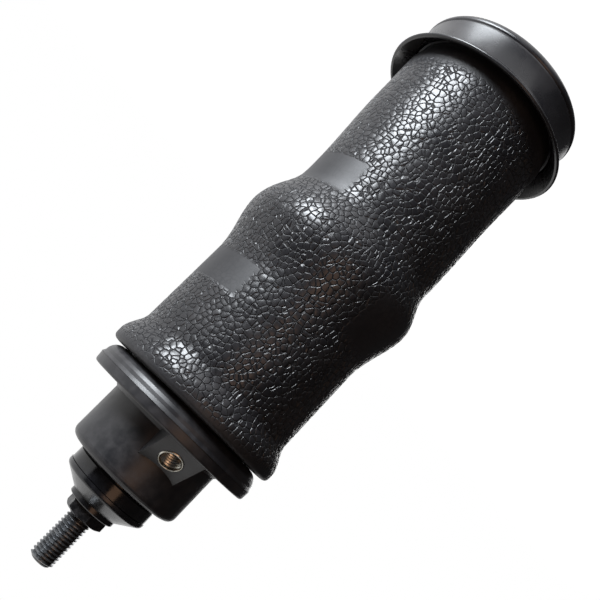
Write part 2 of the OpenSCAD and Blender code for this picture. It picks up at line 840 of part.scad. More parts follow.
module upper_crimp_ring() {
    inner = cuff_r + rubber_t + soft_gap;
    color(dull_steel)
        ring(inner + crimp_t, inner, upper_crimp_z, upper_crimp_z + upper_crimp_h);
}

// Sleeve: lower cuff, bulge, and the fold whose inner leg runs down round the spigot
module rubber_sleeve() {
    outer_wall = wall_points(0);
    inner_wall = wall_points(rubber_t);
    color(black_rubber)
        turned(concat(
            outer_wall,
            arch_points(0),
            [[cuff_r, cuff_end], [cuff_r + rubber_t, cuff_end]],
            reversed(arch_points(rubber_t)),
            reversed(inner_wall)));
}

end_cap();
sleeve_seat();
lower_crimp_ring();
seat_o_ring();
seat_snap_ring();
tube_base();
damper_tube();
rod_guide();
guide_bush();
guide_o_ring();
rod_seal();
guide_snap_ring();
strike_cap();
floating_piston();
floating_seal();
piston_rod();
damper_piston();
piston_band();
compression_shims();
rebound_shims();
backing_washers();
piston_nut();
stop_collar();
rebound_stop();
bump_stop();
foot_washer();
spacer_sleeve();
rubber_mount();
dished_washer();
flat_washer();
stud_nut();
top_housing();
sleeve_carrier();
carrier_o_ring();
upper_crimp_ring();
port_insert();
rubber_sleeve();
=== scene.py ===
# %% [markdown]
# Air shock absorber of a lorry cab.
# A gas damper stands inside a black rubber air sleeve. The sleeve is clamped in a flared
# plastic cap at one end and folded under a flanged plastic housing at the other. A steel
# stud with a nut leaves the housing through a glossy rubber mount.
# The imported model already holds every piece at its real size, so this script first loads it
# as a fixed frame. It then makes only what the plain solids lack: the grained, uneven sleeve,
# the threads, the cap's crease, and a finish for every surface.

import json
from math import atan2, cos, degrees, pi, radians, sin

import bpy
from mathutils import Matrix, Vector


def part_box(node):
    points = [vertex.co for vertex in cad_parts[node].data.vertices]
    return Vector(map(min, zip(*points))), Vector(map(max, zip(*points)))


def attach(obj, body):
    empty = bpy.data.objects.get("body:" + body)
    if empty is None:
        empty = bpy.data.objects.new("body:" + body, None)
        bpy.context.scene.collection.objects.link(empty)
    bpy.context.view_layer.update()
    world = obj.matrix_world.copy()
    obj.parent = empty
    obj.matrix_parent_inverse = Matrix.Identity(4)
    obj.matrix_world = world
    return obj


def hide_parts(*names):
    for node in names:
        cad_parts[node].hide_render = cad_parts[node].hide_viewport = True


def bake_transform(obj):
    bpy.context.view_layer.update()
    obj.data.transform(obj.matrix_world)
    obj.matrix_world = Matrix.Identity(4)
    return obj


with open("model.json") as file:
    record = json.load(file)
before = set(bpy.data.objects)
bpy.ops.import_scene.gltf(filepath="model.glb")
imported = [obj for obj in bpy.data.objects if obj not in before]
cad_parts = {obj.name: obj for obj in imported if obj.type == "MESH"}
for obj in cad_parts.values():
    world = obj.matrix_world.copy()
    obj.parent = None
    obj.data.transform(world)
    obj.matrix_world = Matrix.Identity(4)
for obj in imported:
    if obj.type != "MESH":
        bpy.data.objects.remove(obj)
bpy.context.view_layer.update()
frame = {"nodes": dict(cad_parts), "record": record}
MM = 0.001

# %% [markdown]
# The colours of the real part are close to each other: all of it is black, and what tells the
# pieces apart is gloss. Rubber is grained, moulded plastic is satin, paint is glossy. A picture
# of the surface could hold all this, but plain numbers are easier to change. So the colours
# are written once here, and each finish below sets its own roughness.

# %% Colours
RUBBER_BLACK = (0.011, 0.011, 0.013)
RUBBER_WORN = (0.026, 0.025, 0.027)
PLASTIC_BLACK = (0.012, 0.012, 0.014)
PLASTIC_CHALKY = (0.026, 0.025, 0.027)
GLOSS_BLACK = (0.006, 0.006, 0.007)
ZINC_DARK = (0.10, 0.105, 0.112)
ZINC_PALE = (0.20, 0.205, 0.21)
STEEL_GREY = (0.48, 0.48, 0.50)
STEEL_STAIN = (0.30, 0.29, 0.28)
STEEL_DARK = (0.06, 0.06, 0.062)
ALLOY_PALE = (0.70, 0.70, 0.72)
BRASS_NICKEL = (0.60, 0.59, 0.54)
BRASS_DULL = (0.42, 0.39, 0.32)
FOAM_AMBER = (0.50, 0.38, 0.16)
POLYMER_CREAM = (0.70, 0.66, 0.55)
WHITE = (1.0, 1.0, 1.0, 1.0)
WHITE_FLOOR = (0.86, 0.86, 0.86, 1.0)
print("rubber reflects", RUBBER_BLACK[0], "to", RUBBER_WORN[0], "of the light")


# %% [markdown]
# A material is a tree of nodes. Wiring it by hand in the editor is the same work as here, but
# the same few steps come back in every finish: a noise, a change of range, a mix of two
# colours, a bump. So each step is a small function that returns the socket to go on from.

# %% Node helpers
NOISE_ROUGHNESS = 0.55


def noise(tree, coords, scale, detail=3.0):
    node = tree.nodes.new("ShaderNodeTexNoise")
    node.inputs["Scale"].default_value = scale
    node.inputs["Detail"].default_value = detail
    node.inputs["Roughness"].default_value = NOISE_ROUGHNESS
    tree.links.new(coords, node.inputs["Vector"])
    return node.outputs["Fac"]


def spread(tree, value, low, high, out_low, out_high, smooth=False):
    """Moves a value from one range to another."""
    node = tree.nodes.new("ShaderNodeMapRange")
    node.interpolation_type = "SMOOTHSTEP" if smooth else "LINEAR"
    for name, number in (("From Min", low), ("From Max", high),
                         ("To Min", out_low), ("To Max", out_high)):
        node.inputs[name].default_value = number
    tree.links.new(value, node.inputs["Value"])
    return node.outputs["Result"]


def combine(tree, operation, first, second):
    """Two values through a Math node. The second may be a plain number."""
    node = tree.nodes.new("ShaderNodeMath")
    node.operation = operation
    tree.links.new(first, node.inputs[0])
    if isinstance(second, float):
        node.inputs[1].default_value = second
    else:
        tree.links.new(second, node.inputs[1])
    return node.outputs[0]


def blend_colour(tree, share, first, second):
    node = tree.nodes.new("ShaderNodeMix")
    node.data_type = "RGBA"
    tree.links.new(share, node.inputs["Factor"])
    node.inputs["A"].default_value = (*first, 1.0)
    node.inputs["B"].default_value = (*second, 1.0)
    return node.outputs["Result"]


def bump(tree, height, strength, depth, below=None):
    node = tree.nodes.new("ShaderNodeBump")
    node.inputs["Strength"].default_value = strength
    node.inputs["Distance"].default_value = depth
    tree.links.new(height, node.inputs["Height"])
    if below is not None:
        tree.links.new(below, node.inputs["Normal"])
    return node.outputs["Normal"]


print("node helpers: noise, spread, combine, blend_colour, bump")


# %% [markdown]
# Real black surfaces are never one flat tone: moulding, handling and dust change them from
# place to place. So every finish starts as a Principled shader whose colour wanders between
# two tones, whose roughness wanders too, and whose surface has a fine bump. Noise on Object
# coordinates gives all three, and needs no unwrapping. The scales are per metre, so 200 means
# a 5 mm pattern.

# %% A material from two tones
TONE_EDGES = (0.35, 0.70)
ROUGHNESS_EDGES = (0.3, 0.7)
FINE_STRENGTH = 0.35


def new_material(name):
    """An empty material, with its node tree and the sockets of its shader."""
    material = bpy.data.materials.new(name)
    material.use_nodes = True
    tree = material.node_tree
    return material, tree, tree.nodes["Principled BSDF"].inputs


def object_coords(tree):
    return tree.nodes.new("ShaderNodeTexCoord").outputs["Object"]


def two_tone(name, first, second, patch, roughness, metallic=0.0, grain=2200.0, grain_mm=0.05):
    """A finish whose colour and roughness wander with a pattern of patch per metre."""
    material, tree, shader = new_material(name)
    coords = object_coords(tree)
    wander = noise(tree, coords, patch)
    share = spread(tree, wander, *TONE_EDGES, 0.0, 1.0, smooth=True)
    tree.links.new(blend_colour(tree, share, first, second), shader["Base Color"])
    tree.links.new(spread(tree, wander, *ROUGHNESS_EDGES, *roughness), shader["Roughness"])
    fine = noise(tree, coords, grain, detail=2.0)
    tree.links.new(bump(tree, fine, FINE_STRENGTH, grain_mm * MM), shader["Normal"])
    shader["Metallic"].default_value = metallic
    return material


# name, first tone, second tone, patches per metre, roughness from and to
finishes = {
    "cap_plastic": two_tone("cap_satin", PLASTIC_BLACK, PLASTIC_CHALKY, 60, (0.23, 0.31),
                            grain_mm=0.015),
    "housing_plastic": two_tone("housing_satin", PLASTIC_BLACK, PLASTIC_CHALKY, 170, (0.34, 0.46),
                                grain_mm=0.03),
    "seat_plastic": two_tone("seat_moulding", PLASTIC_BLACK, PLASTIC_CHALKY, 120, (0.45, 0.6)),
    "mount_rubber": two_tone("mount_gloss", GLOSS_BLACK, RUBBER_BLACK, 260, (0.10, 0.2)),
    "seal_rubber": two_tone("seal_dull", RUBBER_BLACK, RUBBER_WORN, 300, (0.5, 0.65)),
    "buffer_foam": two_tone("foam_amber", FOAM_AMBER, RUBBER_WORN, 400, (0.7, 0.9),
                            grain=900, grain_mm=0.3),
    "washer_paint": two_tone("washer_gloss", GLOSS_BLACK, RUBBER_BLACK, 220, (0.18, 0.30)),
    "nut_steel": two_tone("nut_black", GLOSS_BLACK, PLASTIC_CHALKY, 420, (0.28, 0.5),
                          metallic=0.3),
    "rod_steel": two_tone("stud_zinc", ZINC_DARK, ZINC_PALE, 500, (0.26, 0.40),
                          metallic=0.85, grain_mm=0.015),
    "tube_steel": two_tone("tube_drawn", STEEL_GREY, STEEL_STAIN, 90, (0.3, 0.45),
                           metallic=0.95),
    "spring_steel": two_tone("spring_bright", STEEL_GREY, ALLOY_PALE, 200, (0.2, 0.35),
                             metallic=1.0),
    "light_alloy": two_tone("alloy_turned", ALLOY_PALE, STEEL_GREY, 150, (0.28, 0.42),
                            metallic=1.0),
    "yellow_metal": two_tone("insert_brass", BRASS_NICKEL, BRASS_DULL, 380, (0.22, 0.42),
                             metallic=1.0),
    # painted shade: the crimp rings are coloured black so the gap inside the cap's rim stays dark
    "crimp_shade": two_tone("crimp_painted_shade", PLASTIC_BLACK, STEEL_DARK, 150, (0.45, 0.6),
                           metallic=0.5),
    "slide_polymer": two_tone("band_cream", POLYMER_CREAM, STEEL_STAIN, 200, (0.5, 0.6)),
}
print("finishes:", len(finishes))

# %% [markdown]
# The sleeve's rubber is moulded with a leather-like grain: raised pebbles of about 3 mm with
# narrow grooves between them, and a few bare patches where nothing is grained. Sculpting them
# one by one would take days, and a Voronoi pattern read as distance to the edge draws exactly
# such cells. The same pattern is used twice, once to raise the mesh and once as a bump that
# sharpens the grooves, so its settings are written here once. A little noise first shifts the
# place that is looked up, which bends the cells' straight edges.

# %% The grain's pattern
CELLS_PER_M = 300.0
CELL_RANDOMNESS = 0.85
WARP_PER_M = 75.0
WARP_DETAIL = 2.0
WARP_SIZE = 2.2 * MM
GRAIN_ATTRIBUTE = "grain_share"


def grain_height(tree, position):
    """Distance to a cell's edge, 0 in a groove, from the same nodes in a shader or a modifier."""
    wobble = tree.nodes.new("ShaderNodeTexNoise")
    wobble.inputs["Scale"].default_value = WARP_PER_M
    wobble.inputs["Detail"].default_value = WARP_DETAIL
    tree.links.new(position, wobble.inputs["Vector"])
    centred = tree.nodes.new("ShaderNodeVectorMath")
    centred.operation = "SUBTRACT"
    centred.inputs[1].default_value = (0.5, 0.5, 0.5)
    tree.links.new(wobble.outputs["Color"], centred.inputs[0])
    shifted = tree.nodes.new("ShaderNodeVectorMath")
    shifted.operation = "MULTIPLY_ADD"
    shifted.inputs[1].default_value = (WARP_SIZE, WARP_SIZE, WARP_SIZE)
    tree.links.new(centred.outputs["Vector"], shifted.inputs[0])
    tree.links.new(position, shifted.inputs[2])
    cells = tree.nodes.new("ShaderNodeTexVoronoi")
    cells.feature = "DISTANCE_TO_EDGE"
    cells.inputs["Scale"].default_value = CELLS_PER_M
    cells.inputs["Randomness"].default_value = CELL_RANDOMNESS
    tree.links.new(shifted.outputs["Vector"], cells.inputs["Vector"])
    return cells.outputs["Distance"]


print("cells of the grain:", round(1 / CELLS_PER_M / MM, 1), "mm")


# %% [markdown]
# The rubber's finish. On the real sleeve the tops of the pebbles shine, while the grooves
# between them and the bare patches are duller. One roughness for all of it would look like
# plastic. So the shader reads the cells and a vertex attribute, which says how strong the
# grain is at each place, and adds to the roughness in grooves and on patches. The colour is
# painted darker in the grooves too, as painted shade; only the pebble tops take the lighter
# tone, where the haze lets it wander at random.

# %% The rubber's finish
PEBBLE_EDGE = 0.125
GROOVE_EDGE = 0.06
GROOVE_DULLER = 0.45
PATCH_DULLER = 0.20
RUBBER_ROUGHNESS = (0.27, 0.36)
HAZE_PER_M = 45
SKIN_PER_M = 1600


def sleeve_finish():
    material, tree, shader = new_material("sleeve_grained")
    coords = object_coords(tree)
    attribute = tree.nodes.new("ShaderNodeAttribute")
    attribute.attribute_name = GRAIN_ATTRIBUTE
    share = attribute.outputs["Fac"]
    edge = grain_height(tree, coords)
    pebble = spread(tree, edge, 0.0, PEBBLE_EDGE, 0.0, 1.0, smooth=True)
    haze = noise(tree, coords, HAZE_PER_M, detail=4.0)
    # painted shade: the grooves always keep the darker tone, and the haze varies only the pebble
    # tops at random
    haze_and_groove_shade = combine(tree, "MULTIPLY", spread(tree, haze, *TONE_EDGES, 0.0, 1.0), pebble)
    tree.links.new(blend_colour(tree, haze_and_groove_shade, RUBBER_BLACK, RUBBER_WORN), shader["Base Color"])
    patch_dull = spread(tree, share, 0.0, 1.0, PATCH_DULLER, 0.0)
    in_groove = spread(tree, edge, 0.0, GROOVE_EDGE, GROOVE_DULLER, 0.0)
    groove_dull = combine(tree, "MULTIPLY", in_groove, share)
    skin_rough = spread(tree, haze, *ROUGHNESS_EDGES, *RUBBER_ROUGHNESS)
    rough = combine(tree, "ADD", skin_rough, combine(tree, "ADD", patch_dull, groove_dull))
    tree.links.new(rough, shader["Roughness"])
    grooves = bump(tree, combine(tree, "MULTIPLY", pebble, share), 1.0, 0.5 * MM)
    skin = noise(tree, coords, SKIN_PER_M, detail=2.0)
    tree.links.new(bump(tree, skin, 0.2, 0.02 * MM, below=grooves), shader["Normal"])
    return material


finishes["sleeve_rubber"] = sleeve_finish()
print("finishes with the sleeve's:", len(finishes))

# %% [markdown]
# The imported pieces. Most pieces of the real part are turned or moulded, and their solids are
# already right, so they keep their meshes. Each takes the finish of its own material slot. The
# two crimp rings are the exception: so that no bright steel shines out of the gap inside the
# cap's rim, they are coloured black, as painted shade for that deep gap. Painting each piece
# by hand would give the same, but would have to be done again after each new model.glb.

# %% Dress the imported pieces
slot_of = {row["node"]: row["material_slot"] for row in frame["record"]["subparts"]}


def dress(piece, finish):
    piece.data.materials.clear()
    piece.data.materials.append(finish)


for node_name, node in frame["nodes"].items():
    dress(node, finishes["crimp_shade" if "crimp" in node_name else slot_of[node_name]])
print("dressed:", len(frame["nodes"]))


# %% [markdown]
# Small helpers for modelling by operators. An operator acts on all that is selected, and the
# loaded pieces come in selected, so everything is let go before anything new is made. Nearly
# every piece here is round, so the main helper draws a section in edit mode and spins it.

# %% Modelling helpers
DOUBLES = 0.01 * MM
SMALL_STEPS = 64
LARGE_STEPS = 128
CRISP_ANGLE = 40
GRAIN_ANGLE = 60


def let_go():
    bpy.ops.object.select_all(action="DESELECT")


def focus(piece):
    let_go()
    piece.select_set(True)
    bpy.context.view_layer.objects.active = piece


def apply_all(piece):
    focus(piece)
    for modifier in list(piece.modifiers):
        bpy.ops.object.modifier_apply(modifier=modifier.name)


def outline_piece(name, points):
    """A chain of edges in the XZ plane, drawn by extruding one vertex from point to point."""
    let_go()
    radius, height = points[0]
    bpy.ops.mesh.primitive_plane_add(size=MM, location=(0, 0, 0))
    piece = bpy.context.object
    piece.name = name
    piece.data.name = name
    bpy.ops.object.mode_set(mode="EDIT")
    bpy.ops.mesh.select_all(action="SELECT")
    bpy.ops.mesh.merge(type="CENTER")
    bpy.ops.transform.translate(value=(radius, 0, height))
    for (r0, z0), (r1, z1) in zip(points, points[1:]):
        step = {"value": (r1 - r0, 0, z1 - z0)}
        bpy.ops.mesh.extrude_region_move(TRANSFORM_OT_translate=step)
    bpy.ops.object.mode_set(mode="OBJECT")
    return piece


def turn(name, points, steps):
    """A piece turned from its closed section by a full spin round Z."""
    piece = outline_piece(name, points + points[:1])
    bpy.ops.object.mode_set(mode="EDIT")
    bpy.ops.mesh.select_all(action="SELECT")
    bpy.ops.mesh.spin(steps=steps, angle=2 * pi, center=(0, 0, 0), axis=(0, 0, 1))
    bpy.ops.mesh.select_all(action="SELECT")
    bpy.ops.mesh.remove_doubles(threshold=DOUBLES)
    bpy.ops.mesh.normals_make_consistent(inside=False)
    bpy.ops.object.mode_set(mode="OBJECT")
    return piece


def shade(piece, angle):
    """Smooth faces, with crisp edges where they meet at more than the angle."""
    focus(piece)
    bpy.ops.object.shade_smooth_by_angle(angle=radians(angle))


print("modelling helpers: outline_piece, turn, shade")


# %% [markdown]
# The camera. The photograph was taken from close by, so the near end looks larger: the cap's
# rim is an open ellipse while the flange is almost edge-on. That fixes the distance. With a
# long lens from far away, both ends would be equally open. The camera is turned about its own
# axis so that the stud points to the lower left.

# %% Camera
VIEW_AZIMUTH = radians(16.5)
VIEW_ELEVATION = radians(12.5)
VIEW_ROLL = radians(135.6)
VIEW_DISTANCE = 0.4129
VIEW_LENS = 45.0
SENSOR_WIDTH = 36
AIM_HEIGHT = 0.1774
AIM_SIDE = -0.0021

right = Vector((cos(VIEW_AZIMUTH), sin(VIEW_AZIMUTH), 0))
back = Vector((sin(VIEW_AZIMUTH) * cos(VIEW_ELEVATION), -cos(VIEW_AZIMUTH) * cos(VIEW_ELEVATION),
               sin(VIEW_ELEVATION)))
up = back.cross(right)
picture_right = cos(VIEW_ROLL) * right - sin(VIEW_ROLL) * up
picture_up = sin(VIEW_ROLL) * right + cos(VIEW_ROLL) * up
aim = Vector((0, 0, AIM_HEIGHT)) + AIM_SIDE * right
camera_data = bpy.data.cameras.new("camera")
camera_data.lens = VIEW_LENS
camera_data.sensor_width = SENSOR_WIDTH
camera = bpy.data.objects.new("camera", camera_data)
bpy.context.scene.collection.objects.link(camera)
camera.matrix_world = Matrix((picture_right, picture_up, back)).transposed().to_4x4()
camera.location = aim + VIEW_DISTANCE * back
bpy.context.scene.camera = camera
print("camera:", [round(v, 3) for v in camera.location])

# %% [markdown]
# The sleeve. It is one rubber wall with a lower cuff, a soft bulge a little above its middle,
# and a fold under the flange. Cloth simulation could blow up a tube to such a shape, but the
# height at which it bulges is hard to steer. So the wall is turned from a smooth outline, and
# these are its measures.

# %% Sleeve measures
rubber_low, rubber_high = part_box("rubber_sleeve")
rim_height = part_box("end_cap")[1].z
carrier_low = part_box("sleeve_carrier")[0].z
cuff_height = rubber_low.z
fold_top = rubber_high.z
RUBBER = 3.2 * MM
LOWER_CUFF = 49.0 * MM
MOUTH = 50.75 * MM
WAIST = 48.75 * MM
UPPER = 50.0 * MM
BULGE = 56.2 * MM
FOLD = 55.4 * MM
CUFF_RADIUS = 41.8 * MM
BULGE_HEIGHT = rim_height + 127.5 * MM
BULGE_BELOW = 30.5 * MM
BULGE_ABOVE = 34 * MM
FOLD_HEIGHT = 5.5 * MM
FOLD_SWELL = 16 * MM
CRIMP_TOP = rim_height - 9 * MM
cuff_end = carrier_low + 2 * MM
fold_start = fold_top - FOLD_HEIGHT
print("sleeve from", round(cuff_height / MM, 1), "to", round(fold_top / MM, 1), "mm")


# %% [markdown]
# The wall's outline. Each swell of the real wall fades out without an edge, so every change of
# radius goes through the same soft step. A Bezier curve would be as smooth, but its handles
# don't say at which height the crest stands, and these functions do.

# %% Outline of the wall
def ease(t):
    """A soft step from 0 to 1."""
    t = min(max(t, 0.0), 1.0)
    return (1 - cos(pi * t)) / 2


def hump(z, crest, below, above):
    """1 at the crest, falling smoothly to 0 at the given reaches."""
    return ease(1 - (crest - z) / below) if z < crest else ease(1 - (z - crest) / above)


def wall_radius(z):
    base = LOWER_CUFF + (MOUTH - LOWER_CUFF) * ease((z - CRIMP_TOP) / (rim_height - CRIMP_TOP))
    waist_height = BULGE_HEIGHT - BULGE_BELOW
    base += (WAIST - MOUTH) * ease((z - rim_height) / (waist_height - rim_height))
    base += (UPPER - WAIST) * ease((z - BULGE_HEIGHT) / BULGE_ABOVE)
    bulged = base + (BULGE - base) * hump(z, BULGE_HEIGHT, BULGE_BELOW, BULGE_ABOVE)
    swell = ease((z - fold_start + FOLD_SWELL) / FOLD_SWELL)
    return bulged + (FOLD - bulged) * swell


print("radius at the crest:", round(wall_radius(BULGE_HEIGHT) / MM, 1), "mm")


# %% [markdown]
# The fold and the turned wall. At the top the rubber turns over in a flattened arch and runs
# back down inside, to where it is crimped. The outside gets a ring of points every millimetre,
# because the grain is raised on them later. The hidden inside needs far fewer.

# %% Turn the sleeve
RING_STEP = 1.0 * MM
INSIDE_STEP = 12
AROUND = 320
ARCH_STEPS = 14
INSIDE_ARCH_STEPS = 8
ARCH_FLATNESS = 0.5
fold_middle = (FOLD + CUFF_RADIUS) / 2


def arch(depth, steps):
    """The fold from outside to inside, at a depth in the rubber."""
    reach = FOLD - fold_middle - depth
    rise = FOLD_HEIGHT - depth
    points = []
    for i in range(steps + 1):
        across, height = cos(pi * i / steps), sin(pi * i / steps)
        side = 1 if across > 0 else -1
        points.append((fold_middle + reach * abs(across) ** ARCH_FLATNESS * side,
                       fold_start + rise * abs(height) ** ARCH_FLATNESS))
    return points


ring_count = round((fold_start - cuff_height) / RING_STEP)
ring_heights = [cuff_height + (fold_start - cuff_height) * i / ring_count
                for i in range(ring_count)]
outer_line = [(wall_radius(z), z) for z in ring_heights]
inner_line = [(wall_radius(z) - RUBBER, z) for z in ring_heights[::INSIDE_STEP]]
crimped_end = [(CUFF_RADIUS, cuff_end), (CUFF_RADIUS + RUBBER, cuff_end)]
sleeve_outline = (outer_line + arch(0, ARCH_STEPS) + crimped_end
                  + arch(RUBBER, INSIDE_ARCH_STEPS)[::-1] + inner_line[::-1])
sleeve = turn("rubber_sleeve_grained", sleeve_outline, AROUND)
print("sleeve:", len(sleeve.data.vertices), "points")


# %% [markdown]
# Where the rubber is grained. The real sleeve has three bare patches, and it is plain next to
# the cap and over the fold. Directions are measured from the camera's side, because that is
# where the photograph shows them: the flank at the picture's left is at +90 degrees. A painted
# mask would do as well, but these few numbers can be read and moved.

# %% Bare places of the grain
facing = atan2(-cos(VIEW_AZIMUTH), sin(VIEW_AZIMUTH))
# middle in degrees, height, half width in degrees, half height, softness of the edge
PATCHES = ((63, 121.5 * MM, 39, 11.7 * MM, 0.14),
           (63, 199 * MM, 39, 10.8 * MM, 0.14),
           (-50, 169 * MM, 26, 20 * MM, 0.5))
CAP_BARE = 4 * MM
CAP_FADE = 6 * MM
FOLD_REACH = 3 * MM
FOLD_FADE = 6 * MM


def side_angle(x, y):
    """Degrees round the sleeve: 0 faces the camera and +90 is at its right with the stud up."""
    angle = degrees(atan2(y, x) - facing)
    return (angle + 180) % 360 - 180


def patch_share(angle, z):
    """1 inside a bare patch and 0 outside, with a soft edge."""
    share = 0.0
    for middle, height, half_angle, half_height, edge in PATCHES:
        across = abs(angle - middle) / half_angle
        along = abs(z - height) / half_height
        share = max(share, ease((1 - max(across, along)) / edge))
    return share


def grain_at(angle, z):
    near_cap = ease((z - rim_height - CAP_BARE) / CAP_FADE)
    near_fold = ease((fold_start + FOLD_REACH - z) / FOLD_FADE)
    return near_cap * near_fold * (1 - patch_share(angle, z))


print("patches:", len(PATCHES))

# %% [markdown]
# Uneven rubber. A real sleeve is never quite round: this one leans to one side, its waist is
# pushed over, and its bulge swells and sags unevenly. Proportional editing does this by hand.
# Here every point is moved by rules that depend on its height and direction, so that each
# rule can be changed by itself. The grain's share is stored on the same pass.

# %% Uneven rubber
LEAN_EVERYWHERE = 0.5 * MM
LEAN_START = 20 * MM
WAIST_LEAN = 1.9 * MM
WAIST_LEAN_HEIGHT = BULGE_HEIGHT - 36 * MM
WAIST_LEAN_BELOW = 60 * MM
WAIST_LEAN_ABOVE = 26 * MM
SAG = 2.5 * MM
INNER_LEG = 20 * MM
# waves round the bulge: how many, how high, and where they start in radians
WAVES = ((2, 0.4 * MM, 0.9), (3, 0.8 * MM, 0.54))

grain = sleeve.data.attributes.new(GRAIN_ATTRIBUTE, "FLOAT", "POINT")
for index, vertex in enumerate(sleeve.data.vertices):
    x, y, z = vertex.co
    angle = side_angle(x, y)
    radius = (x * x + y * y) ** 0.5
    outside = radius > wall_radius(z) - RUBBER / 2 or z > fold_start
    grain.data[index].value = grain_at(angle, z) if outside else 0.0
    held = radius <= FOLD - 2 * RUBBER and z >= fold_start - INNER_LEG
    free = 0.0 if held else ease((z - rim_height) / LEAN_START)
    waist = hump(z, WAIST_LEAN_HEIGHT, WAIST_LEAN_BELOW, WAIST_LEAN_ABOVE)
    shift = LEAN_EVERYWHERE * free + WAIST_LEAN * waist
    vertex.co.x -= right.x * shift
    vertex.co.y -= right.y * shift
    swell = hump(z, BULGE_HEIGHT, BULGE_BELOW, BULGE_ABOVE)
    turned = radians(angle)
    wave = sum(size * sin(count * turned - start) for count, size, start in WAVES)
    vertex.co.x += x / radius * swell * wave
    vertex.co.y += y / radius * swell * wave
    vertex.co.z -= SAG * swell * max(0.0, -sin(turned))
print("points moved:", len(sleeve.data.vertices))

# %% [markdown]
# The grain is raised on the mesh with a Geometry Nodes modifier. It reads the same cells as
# the material, and moves each point along its normal by the cell's height times the share. A
# bump alone would be cheaper, but then the outline would stay smooth, and the grain of real
# rubber shows there too.

# %% Raise the grain
GRAIN_DEPTH = 0.30 * MM
RAISED_EDGE = 0.13


def grain_modifier(piece):
    tree = bpy.data.node_groups.new("raise_grain", "GeometryNodeTree")
    tree.interface.new_socket("Geometry", in_out="INPUT", socket_type="NodeSocketGeometry")
    tree.interface.new_socket("Geometry", in_out="OUTPUT", socket_type="NodeSocketGeometry")
    source = tree.nodes.new("NodeGroupInput")
    result = tree.nodes.new("NodeGroupOutput")
    position = tree.nodes.new("GeometryNodeInputPosition").outputs["Position"]
    normal = tree.nodes.new("GeometryNodeInputNormal").outputs["Normal"]
    share = tree.nodes.new("GeometryNodeInputNamedAttribute")
    share.data_type = "FLOAT"
    share.inputs["Name"].default_value = GRAIN_ATTRIBUTE
    height = spread(tree, grain_height(tree, position), 0.0, RAISED_EDGE, -1.0, 0.0, smooth=True)
    shared = combine(tree, "MULTIPLY", height, share.outputs["Attribute"])
    rise = combine(tree, "MULTIPLY", shared, GRAIN_DEPTH)
    offset = tree.nodes.new("ShaderNodeVectorMath")
    offset.operation = "SCALE"
    tree.links.new(normal, offset.inputs["Vector"])
    tree.links.new(rise, offset.inputs["Scale"])
    move = tree.nodes.new("GeometryNodeSetPosition")
    tree.links.new(source.outputs[0], move.inputs["Geometry"])
    tree.links.new(offset.outputs["Vector"], move.inputs["Offset"])
    tree.links.new(move.outputs["Geometry"], result.inputs[0])
    modifier = piece.modifiers.new("grain", "NODES")
    modifier.node_group = tree


grain_modifier(sleeve)
apply_all(sleeve)
print("sleeve faces:", len(sleeve.data.polygons))

# %% [markdown]
# The sleeve joins the two halves of the damper. Its lower end stays in the cap, its fold goes
# down with the flange, and the wall between them shortens. Real rubber buckles and rolls here.
# Here the sleeve only takes its finish and its shading, the plain imported sleeve is hidden,
# and its placement is baked into its points.

# %% Finish the sleeve
dress(sleeve, finishes["sleeve_rubber"])
shade(sleeve, GRAIN_ANGLE)
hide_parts("rubber_sleeve")
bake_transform(sleeve)


# %% [markdown]
# Threads. A real thread is one groove that climbs round the bar. Rings stacked on each other
# would look much the same, but their ends would be wrong. So one pitch of the section is drawn
# as a short outline, and a Screw modifier winds it up the axis, turn after turn.

# %% Thread helpers
# share of the depth below the crest, and share of the pitch: flank, flat crest, flank
THREAD_SHAPE = ((1, 0), (0.12, 0.36), (0, 0.42), (0, 0.56), (0.12, 0.62), (1, 0.98), (1, 1))


def thread_section(crest, depth, pitch, start):
    return [(crest - depth * below, start + pitch * along) for below, along in THREAD_SHAPE]


def wind(name, section, pitch, turns):
    """Winds a section up the Z axis into a thread."""
    piece = outline_piece(name, section)
    screw = piece.modifiers.new("wind", "SCREW")
    screw.axis = "Z"
    screw.angle = 2 * pi
    screw.screw_offset = pitch
    screw.iterations = turns
    screw.steps = SMALL_STEPS
    screw.render_steps = SMALL_STEPS
    screw.use_merge_vertices = True
    screw.merge_threshold = DOUBLES
    apply_all(piece)
    return piece


print("thread helpers: thread_section, wind")

# %% [markdown]
# The piston rod. It is one turned bar: a thin lower end for the piston, the rod itself, and the
# stud with an M14 thread of 2 mm pitch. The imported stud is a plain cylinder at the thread's
# crests. So the rod is turned again with a thinner core under the thread, and the new piece
# stands for the whole rod. Its outline keeps a hair's breadth off the axis, where the spin
# would otherwise make faces without any width.

# %% Piston rod with its thread
STUD_RADIUS = 7.0 * MM
ROD_RADIUS = 8.0 * MM
TENON_RADIUS = 5.0 * MM
PITCH = 2.0 * MM
THREAD_DEPTH = 1.2 * MM
STUD_END = 1.0 * MM
CHAMFER = 1.0 * MM
SMALL_CHAMFER = 0.5 * MM
TIP_CHAMFER = 0.7 * MM
HAIR = 0.02 * MM
RUNOUT_START = 1.0 * MM
RUNOUT_END = 2.2 * MM
CORE_GAP = 0.05 * MM
rod_low, rod_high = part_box("piston_rod")
tenon_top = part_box("backing_washers")[1].z
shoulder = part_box("foot_washer")[0].z
thread_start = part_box("stud_nut")[0].z
thread_turns = int((rod_high.z - thread_start - STUD_END) / PITCH)
core = STUD_RADIUS - THREAD_DEPTH - CORE_GAP
thread = wind("stud_thread", thread_section(STUD_RADIUS, THREAD_DEPTH, PITCH, thread_start),
              PITCH, thread_turns)
